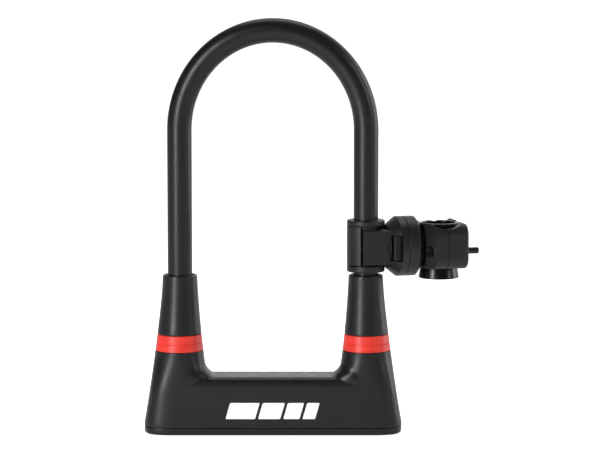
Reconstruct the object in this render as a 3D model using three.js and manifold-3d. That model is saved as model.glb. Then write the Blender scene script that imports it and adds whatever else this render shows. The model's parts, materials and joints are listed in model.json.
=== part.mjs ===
// U lock: a crossbar with two flared towers, a coated steel shackle and a quick-release frame bracket.
// Units are millimetres. +Z is up, +X runs along the crossbar, and the origin is the middle of the base.
// It is drawn closed and unlocked: the feet are home in the sockets and both bolts are drawn back.
import * as THREE from "three";
import { mergeVertices } from "three/addons/utils/BufferGeometryUtils.js";
import Module from "manifold-3d";

// ---- Driving dimensions ----
const GAP = 0.3; // clearance between pieces that touch
const CLEAR_WIDTH = 109.3; // inside the shackle, between its coated legs
const BAR_RADIUS = 6.5;
const COATED_RADIUS = 8.3;
const LEG_X = CLEAR_WIDTH / 2 + COATED_RADIUS;
const ARCH_RISE = 67.1; // the arch is slightly taller than a half circle
const ARCH_CENTRE_Z = 205.9;

const TOWER_TOP_Z = 107.8;
const TOWER_TOP_RADIUS = 11.65;
const TOWER_FLARE = 0.0465; // growth of the tower's radius for each millimetre down
const TOWER_FLARE_GROWTH = 0.000742; // and the growth of that flare
const TOWER_LEAN = 0.006; // the tower's centre moves out as it widens
const TOWER_BELLY = 0.75; // fullness of the outer side halfway up
const ROUND_BELOW_Z = 56; // towers are round above this height and flattened below it
const SQUARE_BELOW_Z = 26; // and their section is squarest below this one
const SQUARENESS = 1.1; // added to the exponent of the section's superellipse there
const FRONT_SLOPE = 0.03; // the flattened front and back move out for each millimetre down
const CROSSBAR_TOP_Z = 39.3;
const CROSSBAR_EDGE = 5; // rounding along the top edges of the crossbar
const ARMPIT_RADIUS = 7; // rounding between tower and crossbar
const BASE_EDGE = 2; // rounding round the bottom edge
const UPRIGHT_BELOW_Z = 7; // the side of the body stops flaring below this height

const BASE_CAP_TOP_Z = 4.9;
const RING_BOTTOM_Z = 56;
const RING_TOP_Z = 67.6;

const CASE_BOTTOM_Z = 5.3; // steel parts inside the housing
const CASE_TOP_Z = 34;
const CASE_HALF_DEPTH = 13.5;
const SOCKET_INNER_X = 49.4;
const SOCKET_TOP_Z = 45;
const FOOT_Z = 10; // lower end of the bare feet
const BOLT_BOTTOM_Z = 25.5;
const BOLT_TOP_Z = 30.5;
const BOLT_HALF_WIDTH = 4;
const BOLT_TIP_X = 53;

const KEY_X = 22; // axis of the lock cylinder
const PLUG_RADIUS = 6.4;
const CAM_PIN_RADIUS = 5; // distance of each cam pin from the axis
const SHUTTER_TRAVEL = 13.5;

const BRACKET_Z = 126.7; // height of the bracket's arm axis
const BRACKET_TURN = 13; // degrees that the arm is swung back from the crossbar
const SPOOL_RADIUS = 12.85;
const SPOOL_CORE_RADIUS = 9.5;
const ARM_HALF_DEPTH = 12.7;
const DISC_RADIUS = 20.4;
const DISC_SEAM = 25.8; // distance along the arm of the joint between arm and dial
const TUBE_RADIUS = 11.1; // of the frame tube that the clamp grips
const TUBE_AXIS = 51.3; // distance along the arm of the axis of the gripped frame tube
const CLAMP_SEAM = TUBE_AXIS; // joint between the clamp's halves
const CLAMP_END = 65.6;
const CLAMP_HALF_HEIGHT = 15.3;
const CLAMP_RISE = 0.9; // of the clamp's middle above the arm's axis
const CLAMP_CORNER = 7.5; // rounding of the clamp's cross-section
const SCOOP_RADIUS = 17; // of the hollow across the clamp's top, from front to back
const CLAMP_SCREW_DROP = 2; // of the clamp's screws below the arm's axis
const CLAMP_SCREW_RADIUS = 2.2;
const CLAMP_HOLE_RADIUS = CLAMP_SCREW_RADIUS + GAP;
const LINER_BOTTOM = -22.3;
const LINER_TOP = 15.6;
const LIP_SEAT = 10.8; // height of the seat round the liner's lip, above the arm's axis
const CLAMP_HALF_WIDTH = 25;
const CLAMP_SCREW_OFFSET = 20;

// ---- Solids ----
const wasm = await Module();
wasm.setup();

// A closed three.js geometry as a solid, with its faces turned outwards.
function solidOf(geometry) {
  const bare = geometry.clone();
  bare.deleteAttribute("normal");
  bare.deleteAttribute("uv");
  const merged = mergeVertices(bare, 1e-4);
  const corners = merged.index.array;
  const kept = [];
  for (let i = 0; i < corners.length; i += 3) {
    const [a, b, c] = [corners[i], corners[i + 1], corners[i + 2]];
    if (a !== b && b !== c && c !== a) kept.push(a, b, c);
  }
  const build = (triangles) =>
    new wasm.Manifold(
      new wasm.Mesh({
        numProp: 3,
        vertProperties: merged.attributes.position.array,
        triVerts: new Uint32Array(triangles),
      }),
    );
  const solid = build(kept);
  if (solid.volume() > 0) return solid;
  return build(kept.reverse());
}

function geometryOf(solid) {
  const mesh = solid.getMesh();
  const indexed = new THREE.BufferGeometry();
  indexed.setAttribute("position", new THREE.BufferAttribute(mesh.vertProperties, 3));
  indexed.setIndex(new THREE.BufferAttribute(mesh.triVerts, 1));
  const geometry = indexed.toNonIndexed();
  geometry.computeVertexNormals();
  return geometry;
}

const join = (...solids) => solids.reduce((whole, next) => whole.add(next));
const cut = (solid, ...tools) => tools.reduce((rest, tool) => rest.subtract(tool), solid);

// ---- Basic shapes ----
function box(x0, x1, y0, y1, z0, z1) {
  const geometry = new THREE.BoxGeometry(x1 - x0, y1 - y0, z1 - z0);
  return solidOf(geometry.translate((x0 + x1) / 2, (y0 + y1) / 2, (z0 + z1) / 2));
}

function rod(radius, z0, z1, x = 0, y = 0, sides = 20) {
  const geometry = new THREE.CylinderGeometry(radius, radius, z1 - z0, sides);
  return solidOf(geometry.rotateX(Math.PI / 2).translate(x, y, (z0 + z1) / 2));
}

// A rod along X, for what lies along the bracket's arm.
function rodAlongX(radius, x0, x1, y = 0, z = 0, sides = 20) {
  const geometry = new THREE.CylinderGeometry(radius, radius, x1 - x0, sides);
  return solidOf(geometry.rotateZ(Math.PI / 2).translate((x0 + x1) / 2, y, z));
}

// A profile of [radius, height] pairs that starts and ends on the axis, turned round Z.
function turned(profile, sides = 24) {
  const points = profile.map(([radius, height]) => new THREE.Vector2(radius, height));
  return solidOf(new THREE.LatheGeometry(points, sides).rotateX(Math.PI / 2));
}

function turnedAlongX(profile, sides = 24) {
  const points = profile.map(([radius, height]) => new THREE.Vector2(radius, height));
  return solidOf(new THREE.LatheGeometry(points, sides).rotateZ(-Math.PI / 2));
}

function extruded(shape, z0, z1, curveSegments = 6) {
  const geometry = new THREE.ExtrudeGeometry(shape, { depth: z1 - z0, bevelEnabled: false, curveSegments });
  return solidOf(geometry.translate(0, 0, z0));
}

// A closed skin over rings of points that all have the same count, listed from the bottom up.
function lofted(rings) {
  const count = rings[0].length;
  const points = rings.flat();
  const triangles = [];
  for (let r = 0; r < rings.length - 1; r++) {
    for (let i = 0; i < count; i++) {
      const [a, b] = [r * count + i, r * count + ((i + 1) % count)];
      triangles.push(a, b, b + count, a, b + count, a + count);
    }
  }
  const last = (rings.length - 1) * count;
  for (let i = 1; i < count - 1; i++) {
    triangles.push(0, i + 1, i);
    triangles.push(last, last + i, last + i + 1);
  }
  const geometry = new THREE.BufferGeometry().setFromPoints(points);
  geometry.setIndex(triangles);
  return solidOf(geometry);
}

function roundedRectangle(x0, x1, y0, y1, radius) {
  const shape = new THREE.Shape();
  shape.absarc(x1 - radius, y1 - radius, radius, 0, Math.PI / 2);
  shape.absarc(x0 + radius, y1 - radius, radius, Math.PI / 2, Math.PI);
  shape.absarc(x0 + radius, y0 + radius, radius, Math.PI, 1.5 * Math.PI);
  shape.absarc(x1 - radius, y0 + radius, radius, 1.5 * Math.PI, 2 * Math.PI);
  shape.closePath();
  return shape;
}

// ---- Outer form of the lock body ----
function towerRadius(z) {
  const below = TOWER_TOP_Z - Math.max(z, UPRIGHT_BELOW_Z);
  return TOWER_TOP_RADIUS + TOWER_FLARE * below + TOWER_FLARE_GROWTH * below * below;
}

function bodyHalfDepth(z) {
  if (z >= ROUND_BELOW_Z) return towerRadius(z);
  return towerRadius(ROUND_BELOW_Z) + FRONT_SLOPE * (ROUND_BELOW_Z - Math.max(z, UPRIGHT_BELOW_Z));
}

// How far an edge of the given radius has curved in at a distance from the face it ends on.
function roundedInset(distance, radius) {
  if (distance >= radius) return 0;
  return radius - Math.sqrt(radius * radius - (radius - distance) ** 2);
}

function towerRing(z, sides = 24) {
  const centre = LEG_X + TOWER_LEAN * (TOWER_TOP_Z - Math.max(z, UPRIGHT_BELOW_Z));
  const inset = roundedInset(z, BASE_EDGE) + roundedInset(TOWER_TOP_Z - z, 0.6);
  const armpit = z > CROSSBAR_TOP_Z - 1 ? roundedInset(Math.max(z - CROSSBAR_TOP_Z, 0), ARMPIT_RADIUS) : 0;
  const belly = TOWER_BELLY * Math.max(0, Math.sin((Math.PI * z) / 95));
  const squareness = 1 - THREE.MathUtils.smoothstep(z, SQUARE_BELOW_Z, ROUND_BELOW_Z);
  const bend = (value) => Math.sign(value) * Math.abs(value) ** (2 / (2 + SQUARENESS * squareness));
  const ring = [];
  for (let i = 0; i < sides; i++) {
    const angle = (2 * Math.PI * i) / sides;
    const reach = towerRadius(z) - inset + (Math.cos(angle) < 0 ? armpit : belly);
    const depth = bodyHalfDepth(z) - inset;
    ring.push(new THREE.Vector3(centre + reach * bend(Math.cos(angle)), depth * bend(Math.sin(angle)), z));
  }
  return ring;
}

function tower() {
  const levels = [0, 0.6, BASE_EDGE, UPRIGHT_BELOW_Z, 24, CROSSBAR_TOP_Z - 1.2];
  levels.push(CROSSBAR_TOP_Z, 39.8, 41.3, 46.3, ROUND_BELOW_Z, 66, 86, TOWER_TOP_Z - 0.6, TOWER_TOP_Z);
  return lofted(levels.map((z) => towerRing(z)));
}

function crossbarForm() {
  const levels = [0, 0.6, BASE_EDGE, UPRIGHT_BELOW_Z];
  for (let step = 0; step <= 3; step++) {
    levels.push(CROSSBAR_TOP_Z - CROSSBAR_EDGE * (1 - Math.sin((Math.PI / 2) * (step / 3))));
  }
  const side = levels.map((z) => {
    const inset = roundedInset(z, BASE_EDGE) + roundedInset(CROSSBAR_TOP_Z - z, CROSSBAR_EDGE);
    return new THREE.Vector2(bodyHalfDepth(z) - inset, z);
  });
  const mirrored = side.map((point) => new THREE.Vector2(-point.x, point.y)).reverse();
  const shape = new THREE.Shape([...side, ...mirrored]);
  const geometry = new THREE.ExtrudeGeometry(shape, { depth: 2 * LEG_X, bevelEnabled: false });
  geometry.translate(0, 0, -LEG_X);
  // The shape's plane becomes YZ, and its extrusion runs along X.
  return solidOf(geometry.rotateX(Math.PI / 2).rotateZ(Math.PI / 2));
}

const mirrorX = (solid) => solid.mirror([1, 0, 0]);
const rightTower = tower();
const bodyForm = join(crossbarForm(), rightTower, mirrorX(rightTower));

function slab(z0, z1) {
  return box(-100, 100, -40, 40, z0, z1);
}

function stadium(radius, z0, z1) {
  return extruded(roundedRectangle(-LEG_X - radius, LEG_X + radius, -radius, radius, radius), z0, z1, 8);
}

// ---- Lock body ----
function housing() {
  const shell = bodyForm.intersect(slab(BASE_CAP_TOP_Z + GAP, RING_BOTTOM_Z));
  const cavity = stadium(CASE_HALF_DEPTH + 0.6, 0, CASE_TOP_Z + 1.6);
  const bores = [-LEG_X, LEG_X].map((x) => rod(12.3, 30, 60, x, 0, 24));
  return cut(shell, cavity, ...bores);
}

function towerSleeve() {
  const cone = rightTower.intersect(slab(RING_TOP_Z, TOWER_TOP_Z + 1));
  const spigot = rod(12, SOCKET_TOP_Z + 1, RING_TOP_Z + 1, LEG_X, 0, 24);
  const bore = rod(COATED_RADIUS + 0.45, 40, 120, LEG_X, 0, 24);
  const bushSeat = rod(10.1, 101.7, 120, LEG_X, 0, 24);
  return cut(join(cone, spigot), bore, bushSeat);
}

function towerRingPiece() {
  const band = rightTower.intersect(slab(RING_BOTTOM_Z + GAP, RING_TOP_Z - GAP));
  return cut(band, rod(12.3, 50, 70, LEG_X, 0, 24));
}

function mouthBush() {
  const ring = rod(9.8, 102, TOWER_TOP_Z - 0.4, LEG_X, 0, 24);
  return cut(ring, rod(COATED_RADIUS + 0.35, 90, 120, LEG_X, 0, 24));
}

const SCREW_SPOTS = [-1, 1].flatMap((sx) => [-1, 1].map((sy) => [sx * 53.5, sy * 9]));

function baseCap() {
  const plate = bodyForm.intersect(slab(0, BASE_CAP_TOP_Z));
  const window = extruded(roundedRectangle(KEY_X - 13, KEY_X + 6, -6, 6, 5.9), -1, 2);
  const track = box(KEY_X - 15.4 - SHUTTER_TRAVEL, KEY_X + 8.4, -8, 8, 1.1, 3);
  const cylinderHole = rod(9, 2, 10, KEY_X);
  const screwHoles = SCREW_SPOTS.flatMap(([x, y]) => [
    rod(1.9, -1, 10, x, y, 12),
    rod(3.3, -1, 2.6, x, y, 16),
  ]);
  return cut(plate, window, track, cylinderHole, ...screwHoles);
}

function baseScrew(x, y) {
  const head = rod(3, 0.5, 2.3, x, y, 16);
  const socket = rod(1.3, 0, 1.5, x, y, 6);
  return cut(join(head, rod(1.6, 2.2, 16, x, y, 12)), socket);
}

function crossbarTube() {
  const edge = SOCKET_INNER_X - GAP;
  const outside = box(-edge, edge, -CASE_HALF_DEPTH, CASE_HALF_DEPTH, CASE_BOTTOM_Z, CASE_TOP_Z);
  const inside = box(-60, 60, -11, 11, CASE_BOTTOM_Z + 2.7, CASE_TOP_Z - 2.5);
  return cut(outside, inside, rod(9, 0, 12, KEY_X));
}

function legSocket() {
  const depth = CASE_HALF_DEPTH;
  const block = join(
    box(SOCKET_INNER_X, LEG_X, -depth, depth, CASE_BOTTOM_Z, CASE_TOP_Z),
    rod(depth, CASE_BOTTOM_Z, CASE_TOP_Z, LEG_X, 0, 24),
    rod(11.9, CASE_TOP_Z - 1, SOCKET_TOP_Z, LEG_X, 0, 24),
  );
  const legBore = rod(BAR_RADIUS + 0.4, 0, 60, LEG_X);
  const boltBore = box(40, LEG_X, -4.3, 4.3, BOLT_BOTTOM_Z - GAP, BOLT_TOP_Z + GAP);
  const screwBores = [-9, 9].map((y) => rod(1.9, 0, 17, 53.5, y, 12));
  return cut(block, legBore, boltBore, ...screwBores);
}

function boltGuide() {
  const plate = box(43, 48.5, -10.7, 10.7, CASE_BOTTOM_Z + 3, CASE_TOP_Z - 2.8);
  return cut(plate, box(40, 50, -4.3, 4.3, BOLT_BOTTOM_Z - GAP, BOLT_TOP_Z + GAP));
}

function cylinderShell() {
  return cut(rod(8.7, 3.4, 21, KEY_X), rod(PLUG_RADIUS + GAP, 0, 30, KEY_X));
}

// ---- Lock cylinder, which the key turns ----
function plug() {
  const drum = cut(rod(PLUG_RADIUS, 3.6, 21, KEY_X), rod(5.3, 0, 19.4, KEY_X));
  return join(drum, rod(2, 20, 25.1, KEY_X, 0, 12));
}

function keyDisc(index) {
  const bottom = 4.2 + 2.4 * index;
  const slot = box(KEY_X - 1.1, KEY_X + 1.1, -3.6, 3.6, 0, 30);
  return cut(rod(5, bottom, bottom + 2, KEY_X, 0, 16), slot);
}

function boltCam() {
  const wheel = cut(rod(7.4, 21.4, 23.8, KEY_X), rod(2.3, 20, 30, KEY_X, 0, 12));
  const pins = [45, 225].map((degrees) => {
    const angle = THREE.MathUtils.degToRad(degrees);
    const x = KEY_X + CAM_PIN_RADIUS * Math.cos(angle);
    return rod(1.2, 23, BOLT_TOP_Z, x, CAM_PIN_RADIUS * Math.sin(angle), 12);
  });
  return join(wheel, ...pins);
}

function plugClip() {
  const ring = cut(rod(3.4, 24.1, 25, KEY_X, 0, 16), rod(2.3, 20, 30, KEY_X, 0, 12));
  return cut(ring, box(KEY_X - 1, KEY_X + 1, 0, 10, 20, 30));
}

// Each bolt is a square bar with a slotted tail that one cam pin drives. Side is -1 left, 1 right.
function bolt(side) {
  const [bottom, top] = [BOLT_BOTTOM_Z, BOLT_TOP_Z];
  const shoulder = KEY_X + side * 12;
  const span = (a, b, y0, y1) => box(Math.min(a, b), Math.max(a, b), y0, y1, bottom, top);
  const bar = span(shoulder, side * BOLT_TIP_X, -BOLT_HALF_WIDTH, BOLT_HALF_WIDTH);
  const pinX = KEY_X - side * CAM_PIN_RADIUS * Math.SQRT1_2;
  const [near, far] = side < 0 ? [1.4, 8] : [-8, -1.4];
  const tail = span(shoulder + side, pinX - side * 3.6, near, far);
  const [slotNear, slotFar] = side < 0 ? [2, 9] : [-9, -2];
  const slot = box(pinX - 1.5, pinX + 1.5, slotNear, slotFar, bottom - 1, top + 1);
  return cut(join(bar, tail), slot);
}

function keywayShutter() {
  const plate = box(KEY_X - 15, KEY_X + 8, -7.6, 7.6, 1.4, 2.7);
  const thumbRibs = [1.3, 3].map((x) => box(KEY_X + x, KEY_X + x + 1, -2.2, 2.2, 0.4, 1.5));
  return join(plate, ...thumbRibs);
}

// ---- Shackle ----
// The centre line of the shackle, from the foot of the left leg over the arch to the right foot.
class ShackleLine extends THREE.Curve {
  constructor() {
    super();
    this.leg = ARCH_CENTRE_Z - FOOT_Z;
    this.arch = (Math.PI / 2) * (LEG_X + ARCH_RISE);
  }
  getPoint(t, target = new THREE.Vector3()) {
    const along = t * (2 * this.leg + this.arch);
    if (along <= this.leg) return target.set(-LEG_X, 0, ARCH_CENTRE_Z - this.leg + along);
    if (along >= this.leg + this.arch) {
      return target.set(LEG_X, 0, ARCH_CENTRE_Z - (along - this.leg - this.arch));
    }
    const angle = Math.PI * (1 - (along - this.leg) / this.arch);
    return target.set(LEG_X * Math.cos(angle), 0, ARCH_CENTRE_Z + ARCH_RISE * Math.sin(angle));
  }
}

function shackleTube(radius, sides) {
  const section = new THREE.Shape().absarc(0, 0, radius, 0, 2 * Math.PI);
  const extrudePath = new ShackleLine();
  return solidOf(new THREE.ExtrudeGeometry(section, { extrudePath, steps: 44, curveSegments: sides / 2 }));
}

function shackleBar() {
  const notches = [-1, 1].map((side) => {
    const [x0, x1] = side < 0 ? [-60.5, -50] : [50, 60.5];
    return box(x0, x1, -10, 10, BOLT_BOTTOM_Z - 0.8, BOLT_TOP_Z + 0.8);
  });
  return cut(shackleTube(BAR_RADIUS, 10), ...notches);
}

function shackleCoating() {
  const feet = slab(0, SOCKET_TOP_Z + GAP);
  return cut(shackleTube(COATED_RADIUS, 16), feet, shackleTube(BAR_RADIUS + GAP, 10));
}

// ---- Bracket: X runs out along its arm, and the origin is on the leg's axis ----
function spool() {
  const [bottom, top] = [-16.7, 18.5];
  const profile = [
    [0, bottom],
    [SPOOL_RADIUS - 1, bottom],
    [SPOOL_RADIUS, bottom + 1],
    [SPOOL_RADIUS, bottom + 4.3],
    [SPOOL_CORE_RADIUS, bottom + 4.5],
    [SPOOL_CORE_RADIUS, top - 3.7],
    [SPOOL_RADIUS, top - 3.5],
    [SPOOL_RADIUS, top - 1],
    [SPOOL_RADIUS - 1, top],
    [0, top],
  ];
  return cut(turned(profile, 24), rod(COATED_RADIUS + 0.35, -30, 30, 0, 0, 24));
}

const JAW_BOTTOM = -11.8;
const JAW_TOP = 14.6;
const JAW_EDGE = -6.5; // the jaw covers the spool on the far side of this line
const ARM_BOTTOM = -11.2;
const ARM_TOP = 11.8;
const ARM_EDGE = -5;
const GRIP_RADIUS = SPOOL_CORE_RADIUS + 0.4;
const HINGE = [-5.8, 14.4];

function jaw() {
  const ring = cut(rod(SPOOL_RADIUS, JAW_BOTTOM, JAW_TOP, 0, 0, 24), rod(GRIP_RADIUS, -30, 30, 0, 0, 24));
  const half = ring.intersect(box(-20, JAW_EDGE, -20, 20, -30, 30));
  const knuckle = rod(2.6, -4.7, 4.7, HINGE[0], HINGE[1], 16);
  const web = box(HINGE[0] - 2.6, HINGE[0] - 1, 9.6, HINGE[1], -4.7, 4.7);
  const catchSlot = box(-8.2, -6, -10.8, -9.6, -1.6, 1.6);
  return cut(join(half, web, knuckle), rod(1.6, -30, 30, HINGE[0], HINGE[1], 12), catchSlot);
}

function jawPin() {
  return rod(1.3, ARM_BOTTOM + 0.4, ARM_TOP - 0.4, HINGE[0], HINGE[1], 12);
}

function arm() {
  const fork = box(ARM_EDGE, 15, -ARM_HALF_DEPTH, ARM_HALF_DEPTH, ARM_BOTTOM, ARM_TOP);
  const hingeWall = box(ARM_EDGE, 14, 4, ARM_HALF_DEPTH, ARM_TOP - 1, JAW_TOP);
  const head = join(fork, hingeWall);
  const flare = turnedAlongX(
    [
      [0, 13.5],
      [14.7, 13.5],
      [DISC_RADIUS, 20.5],
      [DISC_RADIUS, DISC_SEAM - 0.15],
      [0, DISC_SEAM - 0.15],
    ],
    32,
  );
  const knuckles = [
    [ARM_BOTTOM, -5],
    [5, ARM_TOP],
  ].map(([z0, z1]) => join(rod(2.4, z0, z1, HINGE[0], HINGE[1], 16), box(-5, -3.4, 12, 16, z0, z1)));
  const knuckleRoom = rod(3, -5, 5, HINGE[0], HINGE[1], 16);
  const grip = rod(GRIP_RADIUS, -30, 30, 0, 0, 24);
  const jawRoom = cut(rod(17.5, -30, 30, 0, 0, 24), rod(GRIP_RADIUS, -40, 40, 0, 0, 24));
  const pinBore = rod(1.6, -30, 30, HINGE[0], HINGE[1], 12);
  const boltSeat = rodAlongX(7.2, 5, 17, 0, 0, 24);
  const boltBore = rodAlongX(3.4, 15, 30, 0, 0, 16);
  const window = box(13.9, 21.2, -22, -10.1, -8.9, 8.9);
  const catchTrack = box(-6, 17.3, -10.8, -9.6, -1.6, 1.6);
  const open = jawRoom.intersect(box(-20, ARM_EDGE - 0.001, -20, 10, -30, 30));
  const hollows = [open, grip, knuckleRoom, pinBore, boltSeat, boltBore, window, catchTrack];
  return cut(join(head, flare, ...knuckles), ...hollows);
}

// The slider locks the jaw: pushed towards the leg, its tongue enters the slot in the jaw's free end.
function jawSlider() {
  const paddle = box(15.9, 20.9, -15.6, -11.6, -8.4, 8.4);
  const ribs = [16.8, 18.2, 19.6].map((x) => box(x, x + 0.6, -16.1, -15, -7, 7));
  const neck = box(15.9, 17, -11.8, -9.9, -1.2, 1.2);
  const tongue = box(-6.1, 17, -10.5, -9.9, -1.2, 1.2);
  return join(paddle, ...ribs, neck, tongue);
}

// A bowed leaf behind the slider holds it at either end of its travel.
function sliderSpring() {
  const leaf = new THREE.Shape();
  leaf.moveTo(17.4, -10.4);
  leaf.quadraticCurveTo(19.2, -12.2, 21, -10.4);
  leaf.lineTo(20.5, -10.4);
  leaf.quadraticCurveTo(19.2, -11.6, 17.9, -10.4);
  leaf.closePath();
  return extruded(leaf, -2.4, 2.4, 4);
}

function swivelBolt() {
  return join(rodAlongX(6.5, 12.6, 16.7, 0, 0, 6), rodAlongX(3, 16, 36.8, 0, 0, 16));
}

function dial() {
  const body = turnedAlongX(
    [
      [0, DISC_SEAM + 0.15],
      [DISC_RADIUS, DISC_SEAM + 0.15],
      [DISC_RADIUS, 33.1],
      [16.2, 36],
      [14.8, 37.4],
      [0, 37.4],
    ],
    32,
  );
  const pegHoles = [-1, 1].map((side) => rodAlongX(2.3, 31, 40, side * 10.2, 0, 12));
  return cut(body, rodAlongX(3.4, 20, 40, 0, 0, 16), rodAlongX(6.3, 32.8, 40, 0, 0, 6), ...pegHoles);
}

// The cross-section that both clamp halves share, seen along the arm, extruded from x0 to x1.
function clampForm(x0, x1, edge) {
  const [run, rise] = [CLAMP_HALF_WIDTH - edge, CLAMP_HALF_HEIGHT - edge];
  const shape = roundedRectangle(-run, run, CLAMP_RISE - rise, CLAMP_RISE + rise, CLAMP_CORNER - edge);
  const bevel = { bevelEnabled: edge > 0, bevelSize: edge, bevelThickness: edge, bevelSegments: 2 };
  const depth = x1 - x0 - 2 * edge;
  const geometry = new THREE.ExtrudeGeometry(shape, { depth, curveSegments: 5, ...bevel });
  geometry.translate(0, 0, x0 + edge);
  // The shape's plane becomes YZ, and its extrusion runs along X.
  return solidOf(geometry.rotateX(Math.PI / 2).rotateZ(Math.PI / 2));
}

// What both halves lose for the liner: its bore, the seat of its lip, and a scoop across the top.
function clampHollows() {
  const bore = rod(12.7, -40, 40, TUBE_AXIS, 0, 24);
  const lipSeat = rod(14.2, LIP_SEAT, 40, TUBE_AXIS, 0, 24);
  const scoop = solidOf(new THREE.CylinderGeometry(SCOOP_RADIUS, SCOOP_RADIUS, 80, 40));
  return [bore, lipSeat, scoop.translate([TUBE_AXIS, 0, LIP_SEAT + 0.4 + SCOOP_RADIUS])];
}

// A pair of rods, one on the axis of each clamp screw.
function onClampScrews(radius, x0, x1, sides) {
  const spots = [-CLAMP_SCREW_OFFSET, CLAMP_SCREW_OFFSET];
  return spots.map((y) => rodAlongX(radius, x0, x1, y, -CLAMP_SCREW_DROP, sides));
}

function clampInner() {
  // The end that faces the dial is turned round the arm's axis.
  const hub = [
    [0, 37.7],
    [17.6, 37.7],
    [25, 42.3],
    [32, 46.7],
    [32, CLAMP_SEAM - 0.15],
    [0, CLAMP_SEAM - 0.15],
  ];
  const form = clampForm(30, 70, 0).intersect(turnedAlongX(hub, 40));
  const pegs = [-1, 1].map((side) => rodAlongX(2, 31.4, 38, side * 10.2, 0, 12));
  const headSeats = onClampScrews(3.9, 30, 45.2, 16);
  const holes = onClampScrews(CLAMP_HOLE_RADIUS, 30, 80, 12);
  return cut(join(form, ...pegs), ...clampHollows(), ...headSeats, ...holes);
}

function clampOuter() {
  const form = clampForm(40, CLAMP_END, 1.4).intersect(box(CLAMP_SEAM + 0.15, 80, -30, 30, -20, 20));
  const nutSeats = onClampScrews(4.2, CLAMP_END - 3.1, 80, 6);
  const holes = onClampScrews(CLAMP_HOLE_RADIUS, 30, 80, 12);
  return cut(form, ...clampHollows(), ...nutSeats, ...holes);
}

function clampLiner() {
  const profile = [
    [TUBE_RADIUS, LINER_BOTTOM],
    [13.9, LINER_BOTTOM],
    [12.5, -14.7],
    [12.4, LIP_SEAT + GAP],
    [13.8, LIP_SEAT + GAP],
    [13.8, LINER_TOP - 0.5],
    [13.3, LINER_TOP],
    [TUBE_RADIUS, LINER_TOP],
    [TUBE_RADIUS, LINER_BOTTOM],
  ];
  return turned(profile, 24).translate([TUBE_AXIS, 0, 0]);
}

function swivelNut() {
  return cut(rodAlongX(5.9, 33.1, 36.4, 0, 0, 6), rodAlongX(3.3, 30, 50, 0, 0, 16));
}

function clampScrew(side) {
  const [y, z] = [side * CLAMP_SCREW_OFFSET, -CLAMP_SCREW_DROP];
  const head = cut(rodAlongX(3.5, 41.4, 45, y, z, 16), rodAlongX(1.7, 40, 43.4, y, z, 6));
  return join(head, rodAlongX(CLAMP_SCREW_RADIUS, 44.5, 73.3, y, z, 12));
}

function clampNut(side) {
  const [y, z] = [side * CLAMP_SCREW_OFFSET, -CLAMP_SCREW_DROP];
  const hexagon = rodAlongX(3.9, CLAMP_END - 2.8, CLAMP_END - 0.4, y, z, 6);
  return cut(hexagon, rodAlongX(CLAMP_HOLE_RADIUS, 60, 70, y, z, 12));
}

// ---- Materials ----
const finish = (color, roughness, metalness = 0) => ({ color, roughness, metalness });
const BLACK_SHELL = finish(0x1c1c1f, 0.42);
const BLACK_VINYL = finish(0x17181a, 0.38);
const BLACK_NYLON = finish(0x19191a, 0.5);
const BLACK_RUBBER = finish(0x121212, 0.7);
const RED_TRIM = finish(0xd8342a, 0.3);
const HARD_STEEL = finish(0x8a8d91, 0.32, 1);
const ZINC_STEEL = finish(0xb4b6ba, 0.28, 1);
const DARK_STEEL = finish(0x26262a, 0.4, 1);
const BRASS = finish(0xb8964e, 0.3, 1);

function piece(name, solid, look) {
  const mesh = new THREE.Mesh(geometryOf(solid), new THREE.MeshStandardMaterial(look));
  mesh.name = name;
  return mesh;
}

// ---- Assembly ----
function lockBody() {
  const group = new THREE.Group();
  group.add(piece("housing", housing(), BLACK_SHELL));
  group.add(piece("base_cap", baseCap(), BLACK_SHELL));
  group.add(piece("crossbar_tube", crossbarTube(), HARD_STEEL));
  group.add(piece("cylinder_shell", cylinderShell(), BRASS));
  SCREW_SPOTS.forEach(([x, y], i) => group.add(piece(`base_screw_${i + 1}`, baseScrew(x, y), DARK_STEEL)));
  const paired = { tower_sleeve: [towerSleeve(), BLACK_SHELL], red_ring: [towerRingPiece(), RED_TRIM] };
  paired.mouth_bush = [mouthBush(), BLACK_NYLON];
  paired.leg_socket = [legSocket(), HARD_STEEL];
  paired.bolt_guide = [boltGuide(), ZINC_STEEL];
  for (const [name, [solid, look]] of Object.entries(paired)) {
    group.add(piece(`${name}_right`, solid, look));
    group.add(piece(`${name}_left`, mirrorX(solid), look));
  }
  return group;
}

function lockCylinder() {
  const group = new THREE.Group();
  group.add(piece("plug", plug(), BRASS));
  for (let i = 0; i < 6; i++) group.add(piece(`key_disc_${i + 1}`, keyDisc(i), BRASS));
  group.add(piece("bolt_cam", boltCam(), ZINC_STEEL));
  group.add(piece("plug_clip", plugClip(), DARK_STEEL));
  return group;
}

function movingLockParts() {
  const group = new THREE.Group();
  group.add(piece("bolt_left", bolt(-1), ZINC_STEEL));
  group.add(piece("bolt_right", bolt(1), ZINC_STEEL));
  group.add(piece("keyway_shutter", keywayShutter(), BLACK_NYLON));
  return group;
}

function shackle() {
  const group = new THREE.Group();
  group.add(piece("shackle_bar", shackleBar(), HARD_STEEL));
  group.add(piece("shackle_coating", shackleCoating(), BLACK_VINYL));
  return group;
}

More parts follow.
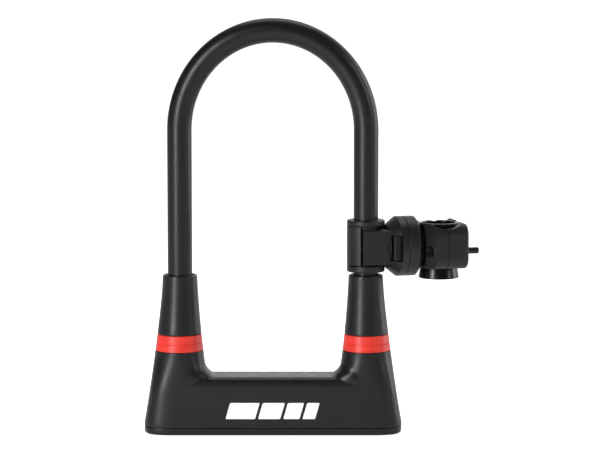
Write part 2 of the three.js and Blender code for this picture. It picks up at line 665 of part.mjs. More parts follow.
function bracket() {
  const group = new THREE.Group();
  group.position.set(LEG_X, 0, BRACKET_Z);
  group.rotation.z = THREE.MathUtils.degToRad(BRACKET_TURN);
  group.add(piece("spool", spool(), BLACK_NYLON));
  group.add(piece("arm", arm(), BLACK_NYLON));
  group.add(piece("jaw", jaw(), BLACK_NYLON));
  group.add(piece("jaw_pin", jawPin(), DARK_STEEL));
  group.add(piece("jaw_slider", jawSlider(), BLACK_NYLON));
  group.add(piece("slider_spring", sliderSpring(), ZINC_STEEL));
  group.add(piece("swivel_bolt", swivelBolt(), ZINC_STEEL));
  group.add(piece("swivel_nut", swivelNut(), ZINC_STEEL));
  group.add(piece("dial", dial(), BLACK_NYLON));
  group.add(piece("clamp_inner", clampInner(), BLACK_NYLON));
  group.add(piece("clamp_outer", clampOuter(), BLACK_NYLON));
  group.add(piece("clamp_liner", clampLiner(), BLACK_RUBBER));
  for (const [side, end] of [
    [-1, "front"],
    [1, "back"],
  ]) {
    group.add(piece(`clamp_screw_${end}`, clampScrew(side), DARK_STEEL));
    group.add(piece(`clamp_nut_${end}`, clampNut(side), ZINC_STEEL));
  }
  return group;
}

const uLock = new THREE.Group();
uLock.add(lockBody(), lockCylinder(), movingLockParts(), shackle(), bracket());

export default uLock;
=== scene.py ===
"""Looks of the u lock: crossbar shell, red rings, coated shackle and bracket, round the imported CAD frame.

Shapes are made in millimetres in the same frame as the CAD, then scaled to metres when they are placed.
"""
import json
import math

import bmesh
import bpy
import numpy as np
from mathutils import Matrix, Vector


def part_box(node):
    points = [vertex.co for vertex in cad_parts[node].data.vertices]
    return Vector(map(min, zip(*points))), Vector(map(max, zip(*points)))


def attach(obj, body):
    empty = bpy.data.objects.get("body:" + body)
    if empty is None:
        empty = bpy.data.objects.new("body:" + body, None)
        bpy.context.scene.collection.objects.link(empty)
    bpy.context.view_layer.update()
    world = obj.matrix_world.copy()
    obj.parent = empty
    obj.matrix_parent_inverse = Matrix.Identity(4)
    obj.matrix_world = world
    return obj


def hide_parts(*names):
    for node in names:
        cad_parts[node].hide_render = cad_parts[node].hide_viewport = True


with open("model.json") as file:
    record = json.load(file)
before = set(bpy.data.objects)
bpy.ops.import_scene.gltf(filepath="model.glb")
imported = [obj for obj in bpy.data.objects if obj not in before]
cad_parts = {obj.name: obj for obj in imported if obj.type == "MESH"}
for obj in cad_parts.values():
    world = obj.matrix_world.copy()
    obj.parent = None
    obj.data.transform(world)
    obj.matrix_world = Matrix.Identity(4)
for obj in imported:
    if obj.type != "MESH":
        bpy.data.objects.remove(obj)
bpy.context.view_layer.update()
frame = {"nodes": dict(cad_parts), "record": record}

# ---- Driving dimensions, in millimetres, read from the frame where a node gives them ----
METRES = 0.001
GAP = 0.3  # clearance between pieces that touch


def node_box(node):
    low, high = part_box(node)
    return low / METRES, high / METRES


BUSH_LOW, BUSH_HIGH = node_box("mouth_bush_right")
CAP_TOP = node_box("base_cap")[1].z
HOUSING_LOW, HOUSING_HIGH = node_box("housing")
RING_LOW, RING_HIGH = node_box("red_ring_right")
SLEEVE_LOW, SLEEVE_HIGH = node_box("tower_sleeve_right")
COAT_END = node_box("shackle_coating")[0].z
SPOOL_LOW, SPOOL_HIGH = node_box("spool")
SHELL_LOW, SHELL_HIGH = node_box("cylinder_shell")
LINER_LOW, LINER_HIGH = node_box("clamp_liner")

LEG_X = (BUSH_LOW.x + BUSH_HIGH.x) / 2
KEY_X = (SHELL_LOW.x + SHELL_HIGH.x) / 2
TOWER_TOP = SLEEVE_HIGH.z
TOWER_TOP_RADIUS = 11.65
TOWER_FLARE = 0.0465  # growth of the tower's radius for each millimetre down
TOWER_FLARE_GROWTH = 0.000742  # and the growth of that flare
TOWER_LEAN = 0.006  # the tower's centre moves out as it widens
TOWER_BELLY = 0.75  # fullness of the outer side halfway up
BELLY_HEIGHT = 95
ROUND_BELOW = 56  # towers are round above this height and flattened below it
SQUARE_BELOW = 26  # and their section is squarest below this one
SQUARENESS = 1.1  # added to the exponent of the section's superellipse there
UPRIGHT_BELOW = 7  # the side of the body stops flaring below this height
FRONT_SLOPE = 0.03  # the flattened front and back move out for each millimetre down
CROSSBAR_TOP = 39.3
CROSSBAR_EDGE = 6.0
ARMPIT_RADIUS = 8.5
BASE_EDGE = 2.0
CAVITY_RADIUS = 14.1
CAVITY_TOP = 35.6
SPIGOT_RADIUS = 12  # of the sleeve's foot, inside the ring and the housing's mouth
BUSH_SEAT = 101.7
CAP_SCREWS = [(sx * 53.5, sy * 9) for sx in (-1, 1) for sy in (-1, 1)]

BAR_RADIUS = 6.5
COAT_RADIUS = 8.3
COAT_BORE = COAT_RADIUS + 0.35
BUSH_RADIUS = 9.8
FOOT_Z = 10
ARCH_Z = 205.9
ARCH_RISE = 67.1
BOLT_Z = (24.7, 31.3)  # lower and upper face of the notches in the feet
NOTCH_END = 60.5  # distance of the notches' inner faces from the middle

SPOOL_TOP = 18.5
BRACKET_Z = SPOOL_HIGH.z - SPOOL_TOP
BRACKET_TURN = math.radians(13)
SPOOL_RADIUS = 12.85
SPOOL_CORE = 9.5
GRIP_RADIUS = 9.9
JAW_BOTTOM = -11.8
JAW_TOP = 14.6
JAW_EDGE = -6.5
ARM_BOTTOM = -11.2
ARM_TOP = 11.8
ARM_EDGE = -5
ARM_HALF_DEPTH = 12.7
DISC_RADIUS = 20.4
DISC_SEAM = 25.8
TUBE_RADIUS = 11.1  # of the frame tube that the clamp grips
TUBE_AXIS = 51.3
CLAMP_SEAM = TUBE_AXIS
HALF_GAP = 0.15
CLAMP_END = 65.6
CLAMP_HALF_HEIGHT = 15.3
CLAMP_RISE = 0.9
CLAMP_CORNER = 7.5
SCOOP_RADIUS = 17
SCOOP_TILT = math.radians(4.5)  # the scoop across the clamp's top falls towards the back
CLAMP_HALF_WIDTH = 25
CLAMP_SCREWS = [(-20, -2), (20, -2)]
LIP_SEAT = 10.8
SCREW_RADIUS = 2.2
SCREW_HOLE = 2.5
NUT_RADIUS = 3.9
PEGS = (-10.2, 10.2)
PEG_RADIUS = 2
SWIVEL_HOLE = 3.4
HINGE = (-5.8, 14.4)  # X and Y of the jaw's hinge pin
PIN_HOLE = 1.6
KNUCKLE_RADIUS = 2.4
KNUCKLE_EDGE = 5  # height above and below the arm's axis where the jaw's knuckle meets the arm's
CATCH_LEVEL = 1.6  # half height of the slot that the catch's tongue slides in

IN_PLACE = Matrix.Scale(METRES, 4)
TO_BRACKET = Matrix.Translation((LEG_X, 0, BRACKET_Z)) @ Matrix.Rotation(BRACKET_TURN, 4, "Z")
ON_BRACKET = IN_PLACE @ TO_BRACKET
ALONG_X = Matrix.Rotation(math.pi / 2, 4, "Y")


# ---- Mesh kit ----
def mesh_object(name, points, faces):
    mesh = bpy.data.meshes.new(name)
    mesh.from_pydata([tuple(p) for p in points], [], faces)
    obj = bpy.data.objects.new(name, mesh)
    bpy.context.scene.collection.objects.link(obj)
    return obj


def edit(obj, change):
    """Runs change on the object's mesh as a bmesh."""
    b = bmesh.new()
    b.from_mesh(obj.data)
    change(b)
    b.to_mesh(obj.data)
    b.free()


def outward(b):
    bmesh.ops.remove_doubles(b, verts=b.verts, dist=1e-4)
    bmesh.ops.recalc_face_normals(b, faces=b.faces)


def skin(name, rings, closed=False):
    """A surface over rings that all have the same count; closed joins the last ring to the first."""
    count = len(rings[0])
    faces = []
    for r in range(len(rings) if closed else len(rings) - 1):
        a, b = r * count, ((r + 1) % len(rings)) * count
        for i in range(count):
            j = (i + 1) % count
            faces.append((a + i, a + j, b + j, b + i))
    if not closed:
        faces.append(tuple(range(count)))
        faces.append(tuple((len(rings) - 1) * count + i for i in range(count)))
    obj = mesh_object(name, [p for ring in rings for p in ring], faces)
    edit(obj, outward)
    return obj


def filleted(corners, steps=5):
    """A closed outline of (a, b, radius) corners as points, each corner rounded by an arc."""
    points = []
    for i, (a, b, radius) in enumerate(corners):
        here = Vector((a, b))
        if radius <= 0:
            points.append(here)
            continue
        before = Vector(corners[i - 1][:2]) - here
        after = Vector(corners[(i + 1) % len(corners)][:2]) - here
        half = before.angle(after) / 2
        reach = min(radius / math.tan(half), before.length * 0.49, after.length * 0.49)
        radius = reach * math.tan(half)
        centre = here + (before.normalized() + after.normalized()).normalized() * (radius / math.sin(half))
        start = here + before.normalized() * reach - centre
        end = here + after.normalized() * reach - centre
        sweep = start.angle(end)
        for k in range(steps + 1):
            t = k / steps
            spoke = (start * math.sin((1 - t) * sweep) + end * math.sin(t * sweep)) / math.sin(sweep)
            points.append(centre + spoke)
    return points


def lathe(name, corners, sides=96, steps=5):
    """A closed outline of (radius, height, fillet) corners turned round Z."""
    outline = filleted(corners, steps)
    rings = []
    for p in outline:
        turn = [2 * math.pi * i / sides for i in range(sides)]
        rings.append([(max(p.x, 0) * math.cos(a), max(p.x, 0) * math.sin(a), p.y) for a in turn])
    return skin(name, rings, closed=True)


def rod(radius, low, high, edge=0.0, sides=64):
    corners = [(0, low, 0), (radius, low, edge), (radius, high, edge), (0, high, 0)]
    return lathe("rod", corners, sides)


def rounded_rectangle(a0, a1, b0, b1, radius, steps=8):
    return filleted([(a0, b0, radius), (a1, b0, radius), (a1, b1, radius), (a0, b1, radius)], steps)


def shrunk(outline, inset):
    """A convex outline that runs anticlockwise, with each point moved in by inset."""
    moved = []
    for i, p in enumerate(outline):
        along = outline[(i + 1) % len(outline)] - outline[i - 1]
        normal = Vector((-along.y, along.x)).normalized()
        moved.append(p + normal * inset)
    return moved


def extruded(name, outline, low, high, low_edge=0.0, high_edge=0.0, steps=4):
    """An outline in XY, raised from low to high along Z with rounded rims."""
    rings = []
    for k in range(steps + 1):
        turn = math.pi / 2 * k / steps
        if low_edge or k == steps:
            rings.append((low_edge * (1 - math.sin(turn)), low + low_edge * (1 - math.cos(turn))))
    for k in range(steps + 1):
        turn = math.pi / 2 * (1 - k / steps)
        if high_edge or k == 0:
            rings.append((high_edge * (1 - math.sin(turn)), high - high_edge * (1 - math.cos(turn))))
    layers = [[(p.x, p.y, z) for p in shrunk(outline, inset)] for inset, z in rings]
    return skin(name, layers)


def block(x0, x1, y0, y1, z0, z1, radius=0.5, edge=0.5):
    """A box with its upright edges rounded by radius and its rims by edge."""
    outline = rounded_rectangle(x0, x1, y0, y1, max(radius, 0.01), 4)
    return extruded("block", outline, z0, z1, edge, edge)


def moved(obj, x=0.0, y=0.0, z=0.0):
    obj.data.transform(Matrix.Translation((x, y, z)))
    return obj


def along_x(obj, y=0.0, z=0.0):
    """Turns a shape made round Z so that it lies along X, at (y, z)."""
    obj.data.transform(Matrix.Translation((0, y, z)) @ ALONG_X)
    return obj


def bake(obj):
    """Applies the object's modifiers to its mesh."""
    bpy.context.view_layer.update()
    graph = bpy.context.evaluated_depsgraph_get()
    mesh = bpy.data.meshes.new_from_object(obj.evaluated_get(graph))
    obj.modifiers.clear()
    old, obj.data = obj.data, mesh
    bpy.data.meshes.remove(old)
    return obj


def combined(operation, obj, tools):
    for tool in tools:
        modifier = obj.modifiers.new("solid", "BOOLEAN")
        modifier.operation = operation
        modifier.solver = "MANIFOLD"
        modifier.object = tool
        bake(obj)
        bpy.data.objects.remove(tool)
    return obj


def join(obj, *tools):
    return combined("UNION", obj, tools)


def cut(obj, *tools):
    return combined("DIFFERENCE", obj, tools)


def common(obj, *tools):
    return combined("INTERSECT", obj, tools)


def soften(obj, width, segments=2, angle=40):
    """Rounds the edges that are sharper than angle."""
    edit(obj, lambda b: bmesh.ops.dissolve_limit(
        b, angle_limit=math.radians(0.6), verts=b.verts, edges=b.edges))
    bevel = obj.modifiers.new("edges", "BEVEL")
    bevel.width = width
    bevel.segments = segments
    bevel.limit_method = "ANGLE"
    bevel.angle_limit = math.radians(angle)
    bevel.use_clamp_overlap = True
    bevel.loop_slide = True
    return bake(obj)


def place(obj, name, body, slot, nodes, placement=IN_PLACE, smooth=32):
    """Scales a finished shape to metres, paints it, and says what it rides on and stands for."""
    obj.name = name
    obj.data.name = name
    obj.data.transform(placement)
    edit(obj, lambda b: bmesh.ops.recalc_face_normals(b, faces=b.faces))
    for polygon in obj.data.polygons:
        polygon.use_smooth = True
    obj.data.set_sharp_from_angle(angle=math.radians(smooth))
    weighted = obj.modifiers.new("shading", "WEIGHTED_NORMAL")
    weighted.keep_sharp = True
    obj.data.materials.clear()
    obj.data.materials.append(MATERIALS[slot])
    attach(obj, body)
    if nodes:
        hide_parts(*nodes)
    return obj


# ---- Materials ----
class Nodes:
    """A new material and short calls that add nodes to it."""

    def __init__(self, name):
        self.material = bpy.data.materials.new(name)
        self.material.use_nodes = True
        self.tree = self.material.node_tree
        self.shader = self.tree.nodes["Principled BSDF"]
        self.place = self.tree.nodes.new("ShaderNodeTexCoord").outputs["Object"]

    def link(self, output, target):
        self.tree.links.new(output, target)

    def noise(self, scale, detail=3.0, stretch=None):
        node = self.tree.nodes.new("ShaderNodeTexNoise")
        node.inputs["Scale"].default_value = scale
        node.inputs["Detail"].default_value = detail
        source = self.place
        if stretch:
            mapping = self.tree.nodes.new("ShaderNodeMapping")
            mapping.inputs["Scale"].default_value = stretch
            self.link(source, mapping.inputs["Vector"])
            source = mapping.outputs["Vector"]
        self.link(source, node.inputs["Vector"])
        return node.outputs["Fac"]

    def spread(self, source, low, high, start=0.3, end=0.7):
        """Maps a noise onto numbers from low to high."""
        node = self.tree.nodes.new("ShaderNodeMapRange")
        node.inputs["From Min"].default_value = start
        node.inputs["From Max"].default_value = end
        node.inputs["To Min"].default_value = low
        node.inputs["To Max"].default_value = high
        self.link(source, node.inputs["Value"])
        return node.outputs["Result"]

    def blend(self, source, first, second):
        """Mixes two colours by a noise."""
        ramp = self.tree.nodes.new("ShaderNodeValToRGB")
        ramp.color_ramp.elements[0].position = 0.3
        ramp.color_ramp.elements[1].position = 0.7
        ramp.color_ramp.elements[0].color = (*first, 1)
        ramp.color_ramp.elements[1].color = (*second, 1)
        self.link(source, ramp.inputs["Fac"])
        return ramp.outputs["Color"]

    def bump(self, source, height, strength=1.0, under=None):
        node = self.tree.nodes.new("ShaderNodeBump")
        node.inputs["Strength"].default_value = strength
        node.inputs["Distance"].default_value = height
        self.link(source, node.inputs["Height"])
        if under:
            self.link(under, node.inputs["Normal"])
        return node.outputs["Normal"]


def shade(colour, factor):
    return tuple(c * factor for c in colour)


def moulded(name, colour, roughness, grain=2600, grain_height=0.00003, waves=60, wave_height=0.00002):
    """Moulded plastic: a fine grain, slow waviness, and slightly uneven colour and gloss."""
    n = Nodes(name)
    patches = n.noise(90, 4)
    n.link(n.blend(patches, shade(colour, 0.86), shade(colour, 1.14)), n.shader.inputs["Base Color"])
    n.link(n.spread(n.noise(240, 5), roughness - 0.05, roughness + 0.06), n.shader.inputs["Roughness"])
    slow = n.bump(n.noise(waves, 2), wave_height)
    n.link(n.bump(n.noise(grain, 4), grain_height, 0.6, slow), n.shader.inputs["Normal"])
    n.shader.inputs["Specular IOR Level"].default_value = 0.3
    return n.material


def metal(name, colour, roughness, stretch, marks_height=0.000012):
    """Worked metal: fine marks along one direction and cloudy gloss."""
    n = Nodes(name)
    marks = n.noise(900, 3, stretch)
    n.link(n.blend(n.noise(120, 4), shade(colour, 0.82), colour), n.shader.inputs["Base Color"])
    n.link(n.spread(marks, roughness - 0.07, roughness + 0.1), n.shader.inputs["Roughness"])
    n.link(n.bump(marks, marks_height, 0.5), n.shader.inputs["Normal"])
    n.shader.inputs["Metallic"].default_value = 1.0
    return n.material


MATERIALS = {
    "body_shell": moulded("satin_black_shell", (0.0085, 0.0088, 0.0106), 0.33, 3200, 0.000015),
    "shackle_vinyl": moulded("black_vinyl_coat", (0.0065, 0.0068, 0.0078), 0.34, 1500, 0.000016, 90, 0.00004),
    "bracket_nylon": moulded("matt_black_nylon", (0.0098, 0.0098, 0.0108), 0.4, 2200, 0.00002),
    "hidden_nylon": moulded("plain_black_nylon", (0.008, 0.008, 0.008), 0.5),
    "rubber_liner": moulded("black_rubber", (0.004, 0.004, 0.0045), 0.24, 1300, 0.000008),
    "red_trim": moulded("glossy_red", (0.68, 0.038, 0.026), 0.36, 2600, 0.00001, 120, 0.000004),
    "hard_steel": metal("hardened_steel", (0.42, 0.42, 0.43), 0.34, (1, 1, 0.04)),
    "zinc_steel": metal("zinc_plate", (0.62, 0.63, 0.66), 0.27, (0.2, 1, 1)),
    "dark_steel": metal("black_oxide_steel", (0.055, 0.055, 0.06), 0.38, (1, 1, 0.3)),
    "brass": metal("turned_brass", (0.62, 0.45, 0.19), 0.26, (1, 1, 0.1)),
}


def white_paint():
    n = Nodes("white_pad_print")
    n.link(n.blend(n.noise(700, 4), (0.84, 0.84, 0.83), (0.92, 0.92, 0.91)), n.shader.inputs["Base Color"])
    n.link(n.spread(n.noise(1600, 3), 0.4, 0.55), n.shader.inputs["Roughness"])
    return n.material


# ---- Lock body ----
def smooth_step(low, high, value):
    t = np.clip((value - low) / (high - low), 0, 1)
    return t * t * (3 - 2 * t)


def round_max(a, b, radius):
    """The larger of two distances, with the edge between them rounded."""
    a, b = a + radius, b + radius
    return np.minimum(np.maximum(a, b), 0) + np.hypot(np.maximum(a, 0), np.maximum(b, 0)) - radius


def tower_section(z):
    """Half width, half depth and centre of a tower at a height, and how square its section is."""
    below = TOWER_TOP - np.maximum(z, UPRIGHT_BELOW)
    radius = TOWER_TOP_RADIUS + TOWER_FLARE * below + TOWER_FLARE_GROWTH * below**2
    under = TOWER_TOP - ROUND_BELOW
    widest = TOWER_TOP_RADIUS + TOWER_FLARE * under + TOWER_FLARE_GROWTH * under**2
    flattened = widest + FRONT_SLOPE * (ROUND_BELOW - np.maximum(z, UPRIGHT_BELOW))
    depth = np.where(z >= ROUND_BELOW, radius, flattened)
    power = 2 + SQUARENESS * (1 - smooth_step(SQUARE_BELOW, ROUND_BELOW, z))
    return radius, depth, LEG_X + TOWER_LEAN * below, power


def tower_ring(z, inset=0.0, sides=128):
    radius, depth, centre, power = (float(value) for value in tower_section(np.float64(z)))
    belly = TOWER_BELLY * max(0.0, math.sin(math.pi * z / BELLY_HEIGHT))
    ring = []
    for i in range(sides):
        c, s = math.cos(2 * math.pi * i / sides), math.sin(2 * math.pi * i / sides)
        reach = radius - inset + (belly if c > 0 else 0)
        x = math.copysign(abs(c) ** (2 / power), c)
        y = math.copysign(abs(s) ** (2 / power), s)
        ring.append((centre + reach * x, (depth - inset) * y, z))
    return ring


def circle(radius, z, sides=128):
    turns = [2 * math.pi * i / sides for i in range(sides)]
    return [(LEG_X + radius * math.cos(a), radius * math.sin(a), z) for a in turns]


def shell_distance(p):
    """Signed distance, roughly, from the outside of the towers and crossbar joined by soft corners."""
    x, y, z = np.abs(p[:, 0]), p[:, 1], p[:, 2]
    radius, depth, centre, power = tower_section(z)
    dx = x - centre
    belly = TOWER_BELLY * np.maximum(0, np.sin(math.pi * z / BELLY_HEIGHT))
    width = radius + np.where(dx > 0, belly, 0)
    a, b = np.abs(dx / width) + 1e-9, np.abs(y / depth) + 1e-9
    level = (a**power + b**power) ** (1 / power)
    slope = np.hypot((a / level) ** (power - 1) / width, (b / level) ** (power - 1) / depth)
    tower = (level - 1) / slope
    bar = round_max(np.abs(y) - depth, z - CROSSBAR_TOP, CROSSBAR_EDGE)
    bar = np.maximum(bar, dx)
    inward = -dx / (np.hypot(dx, y) + 1e-6)
    fillet = ARMPIT_RADIUS * smooth_step(0.0, 0.7, inward) * smooth_step(33, 42, z) + 1e-3
    c, d = np.maximum(fillet - tower, 0), np.maximum(fillet - bar, 0)
    return np.maximum(fillet, np.minimum(tower, bar)) - np.hypot(c, d)


def onto_shell(obj):
    """Moves every point of a rough mesh onto the smooth outside of the body."""
    count = len(obj.data.vertices)
    flat = np.zeros(count * 3)
    obj.data.vertices.foreach_get("co", flat)
    p = flat.reshape(-1, 3)
    step = 0.05
    for _ in range(5):
        here = shell_distance(p)
        gradient = np.stack([(shell_distance(p + step * e) - here) / step for e in np.eye(3)], 1)
        length = np.maximum((gradient**2).sum(1), 0.2)
        p = p - gradient * np.clip(here / length, -1.5, 1.5)[:, None]
    obj.data.vertices.foreach_set("co", p.ravel())
    obj.data.update()


def trimmed(obj, z, keep_below):
    """Cuts a closed mesh at a height and closes it again with a flat face."""
    def change(b):
        parts = b.verts[:] + b.edges[:] + b.faces[:]
        bmesh.ops.bisect_plane(
            b, geom=parts, plane_co=(0, 0, z), plane_no=(0, 0, 1),
            clear_outer=keep_below, clear_inner=not keep_below)
        rim = [e for e in b.edges if e.is_boundary]
        bmesh.ops.holes_fill(b, edges=rim, sides=0)
    edit(obj, change)


def rough_body():
    """Both towers and the crossbar as one coarse mesh, a little longer than the housing at each end."""
    levels = [0, 10, 20, 30, 40, 50, 62]
    right = skin("right", [tower_ring(z, 0, 48) for z in levels])
    left = skin("left", [[(-x, y, z) for x, y, z in tower_ring(h, 0, 48)] for h in levels])
    depth = float(tower_section(np.float64(20.0))[1])
    bar = block(-LEG_X, LEG_X, -depth, depth, 0, CROSSBAR_TOP, 0.1, 3)
    return join(right, left, bar)


def stadium(radius, z0, z1):
    outline = rounded_rectangle(-LEG_X - radius, LEG_X + radius, -radius, radius, radius - 0.01, 24)
    return extruded("stadium", outline, z0, z1)


def housing():
    shell = rough_body()
    remesh = shell.modifiers.new("even", "REMESH")
    remesh.mode = "VOXEL"
    remesh.voxel_size = 1.0
    bake(shell)
    onto_shell(shell)
    trimmed(shell, HOUSING_HIGH.z, True)
    trimmed(shell, HOUSING_LOW.z, False)
    mouths = [moved(rod(SPIGOT_RADIUS + GAP, 30, 60), x) for x in (-LEG_X, LEG_X)]
    cut(shell, stadium(CAVITY_RADIUS, 0, CAVITY_TOP), *mouths)
    rims = shell.modifiers.new("rims", "BEVEL")
    rims.width = 0.35
    rims.segments = 2
    rims.limit_method = "ANGLE"
    rims.angle_limit = math.radians(60)
    bake(shell)
    place(shell, "housing_shell", "lock_body", "body_shell", ["housing"], smooth=50)


def cap_ring(z, inset, sides=128):
    """The outline of the whole body at a height: two tower ends joined by straight sides."""
    ring = tower_ring(z, inset, sides)
    right = [p for p in ring if p[0] >= float(tower_section(np.float64(z))[2]) - 1e-6]
    right.sort(key=lambda p: math.atan2(p[1], p[0] - LEG_X + 1e-3))
    return right + [(-x, y, z) for x, y, _ in reversed(right)]


def base_cap():
    rings = []
    for k in range(7):
        turn = math.pi / 2 * k / 6
        rings.append(cap_ring(BASE_EDGE * (1 - math.cos(turn)), BASE_EDGE * (1 - math.sin(turn))))
    rings += [cap_ring(CAP_TOP - 0.4, 0), cap_ring(CAP_TOP - 0.15, 0.1), cap_ring(CAP_TOP, 0.4)]
    plate = skin("cap", rings)
    window = extruded("window", rounded_rectangle(KEY_X - 13, KEY_X + 6, -6, 6, 5.9), -1, 2)
    track = block(KEY_X - 28.9, KEY_X + 8.4, -8, 8, 1.1, 3, 0.6, 0.01)
    cut(plate, window, track, moved(rod(9, 2, 10), KEY_X))
    for x, y in CAP_SCREWS:
        cut(plate, moved(rod(1.9, -1, 10, sides=32), x, y), moved(rod(3.3, -1, 2.6, sides=40), x, y))
    soften(plate, 0.25, 2, 50)
    place(plate, "base_cap_plate", "lock_body", "body_shell", ["base_cap"])


def mirrored(obj, name):
    copy = bpy.data.objects.new(name, obj.data.copy())
    bpy.context.scene.collection.objects.link(copy)
    copy.data.transform(Matrix.Scale(-1, 4, (1, 0, 0)))
    return copy


def both_sides(obj, name, body, slot, node):
    left = mirrored(obj, name)
    place(obj, f"{name}_right", body, slot, [f"{node}_right"])
    place(left, f"{name}_left", body, slot, [f"{node}_left"])


def red_ring():
    low, high, soft = RING_LOW.z, RING_HIGH.z, 0.35
    line = low + 0.46 * (high - low)
    levels = [(low, soft), (low + 0.1, 0.15), (low + soft, 0), (line - 0.35, 0), (line - 0.15, 0.28)]
    levels += [(line + 0.15, 0.28), (line + 0.35, 0), (high - soft, 0), (high - 0.1, 0.15), (high, soft)]
    rings = [tower_ring(z, inset) for z, inset in levels]
    rings += [circle(SPIGOT_RADIUS + GAP, high), circle(SPIGOT_RADIUS + GAP, low)]
    both_sides(skin("ring", rings, True), "trim_ring", "lock_body", "red_trim", "red_ring")


def tower_sleeve():
    """The upper tower, with a seat for the bush in its mouth and a spigot that reaches down into the ring."""
    low, high, seat = RING_HIGH.z + GAP, TOWER_TOP, BUSH_SEAT
    rings = [tower_ring(low, 0.4), tower_ring(low + 0.12, 0.15), tower_ring(low + 0.4, 0)]
    rings += [tower_ring(low + 0.4 + (high - low - 1.2) * k / 12) for k in range(1, 13)]
    for k in range(1, 6):
        turn = math.pi / 2 * k / 5
        rings.append(tower_ring(high - 0.8 + 0.8 * math.sin(turn), 0.8 * (1 - math.cos(turn))))
    mouth, bore = BUSH_RADIUS + GAP, COAT_BORE + 0.1
    rings += [circle(mouth + 0.15, high), circle(mouth, high - 0.15), circle(mouth, seat), circle(bore, seat)]
    rings += [circle(bore, SLEEVE_LOW.z), circle(SPIGOT_RADIUS, SLEEVE_LOW.z), circle(SPIGOT_RADIUS, low)]
    both_sides(skin("sleeve", rings, True), "sleeve", "lock_body", "body_shell", "tower_sleeve")


def mouth_bush():
    corners = [(COAT_BORE, BUSH_LOW.z, 0.2), (BUSH_RADIUS, BUSH_LOW.z, 0.2)]
    corners += [(BUSH_RADIUS, BUSH_HIGH.z, 0.4), (COAT_BORE, BUSH_HIGH.z, 0.8)]
    bush = moved(lathe("bush", corners), LEG_X)
    both_sides(bush, "bush", "lock_body", "hidden_nylon", "mouth_bush")


def base_screws():
    for i, (x, y) in enumerate(CAP_SCREWS):
        screw = join(rod(3, 0.5, 2.3, 0.3, 48), rod(1.6, 2.2, 16, 0.2, 32))
        cut(screw, rod(1.3, 0, 1.5, sides=6))
        place(moved(screw, x, y), f"cap_screw_{i + 1}", "lock_body", "dark_steel", [f"base_screw_{i + 1}"])


def slanted_mark():
    """A plain row of slanted bars on the front of the crossbar, a generic mark with no lettering."""
    low, height, lean = 11.5, 11.0, 3.2
    bars = [(-32, 20), (-10, 15), (7, 11), (20, 8.5)]
    for i, (x, width) in enumerate(bars):
        def spot(across, up):
            front = float(tower_section(np.float64(low + up))[1])
            return x + across + lean * up / height, -front - 0.02, low + up
        corners = filleted([(0, 0, 0.8), (width, 0, 0.8), (width, height, 0.8), (0, height, 0.8)], 4)
        outside = [spot(p.x, p.y) for p in corners]
        rings = [[(a, b + 0.12, c) for a, b, c in outside], [(a, b, c) for a, b, c in outside]]
        mark = skin("mark", rings)
        mark.name = f"front_mark_{i + 1}"
        mark.data.transform(IN_PLACE)
        mark.data.materials.append(WHITE)
        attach(mark, "lock_body")


# ---- Shackle ----
def shackle_rings(radius, foot, sides, arch_steps=120, soft=0.0):
    """Rings from the shackle's left foot over the arch to its right foot, each foot rounded by soft."""
    leg = ARCH_Z - foot - soft
    path = [(-LEG_X, foot + soft + leg * k / 12, 0.0) for k in range(12)]
    for k in range(arch_steps + 1):
        angle = math.pi * (1 - k / arch_steps)
        slope = math.atan2(LEG_X * math.sin(angle), ARCH_RISE * -math.cos(angle))
        path.append((LEG_X * math.cos(angle), ARCH_Z + ARCH_RISE * math.sin(angle), slope))
    path += [(LEG_X, ARCH_Z - leg * k / 12, math.pi) for k in range(1, 13)]
    rings = [(x, z, slope, radius) for x, z, slope in path]
    if soft:
        rings = [(-LEG_X, foot, 0.0, radius - soft)] + rings + [(LEG_X, foot, math.pi, radius - soft)]
    made = []
    for x, z, slope, size in rings:
        ring = []
        for i in range(sides):
            a = 2 * math.pi * i / sides
            side = size * math.cos(a)
            ring.append((x - side * math.cos(slope), size * math.sin(a), z + side * math.sin(slope)))
        made.append(ring)
    return made


def shackle_coat():
    outside = shackle_rings(COAT_RADIUS, COAT_END, 72, soft=0.5)
    inside = shackle_rings(BAR_RADIUS + GAP, COAT_END, 72)
    coat = skin("coat", outside + inside[::-1], True)
    place(coat, "vinyl_coat", "shackle", "shackle_vinyl", ["shackle_coating"])


def shackle_bar():
    bar = skin("bar", shackle_rings(BAR_RADIUS, FOOT_Z, 48, soft=0.8))
    for x0, x1 in ((-NOTCH_END, -50), (50, NOTCH_END)):
        cut(bar, block(x0, x1, -10, 10, *BOLT_Z, 0.01, 0.01))
    place(bar, "steel_bar", "shackle", "hard_steel", ["shackle_bar"])


# ---- Bracket: X runs out along its arm, and the origin is on the leg's axis ----
def on_bracket(obj, name, body, slot, nodes):
    return place(obj, name, body, slot, nodes, ON_BRACKET)


def spool():
    low = SPOOL_LOW.z - BRACKET_Z
    corners = [(COAT_BORE, low, 0.3), (SPOOL_RADIUS, low, 0.9)]
    corners += [(SPOOL_RADIUS, low + 4.3, 0.4), (SPOOL_CORE, low + 4.5, 0.3)]
    corners += [(SPOOL_CORE, SPOOL_TOP - 3.7, 0.3), (SPOOL_RADIUS, SPOOL_TOP - 3.5, 0.4)]
    corners += [(SPOOL_RADIUS, SPOOL_TOP, 0.9), (COAT_BORE, SPOOL_TOP, 0.5)]
    on_bracket(lathe("spool", corners, 112), "leg_spool", "shackle", "bracket_nylon", ["spool"])


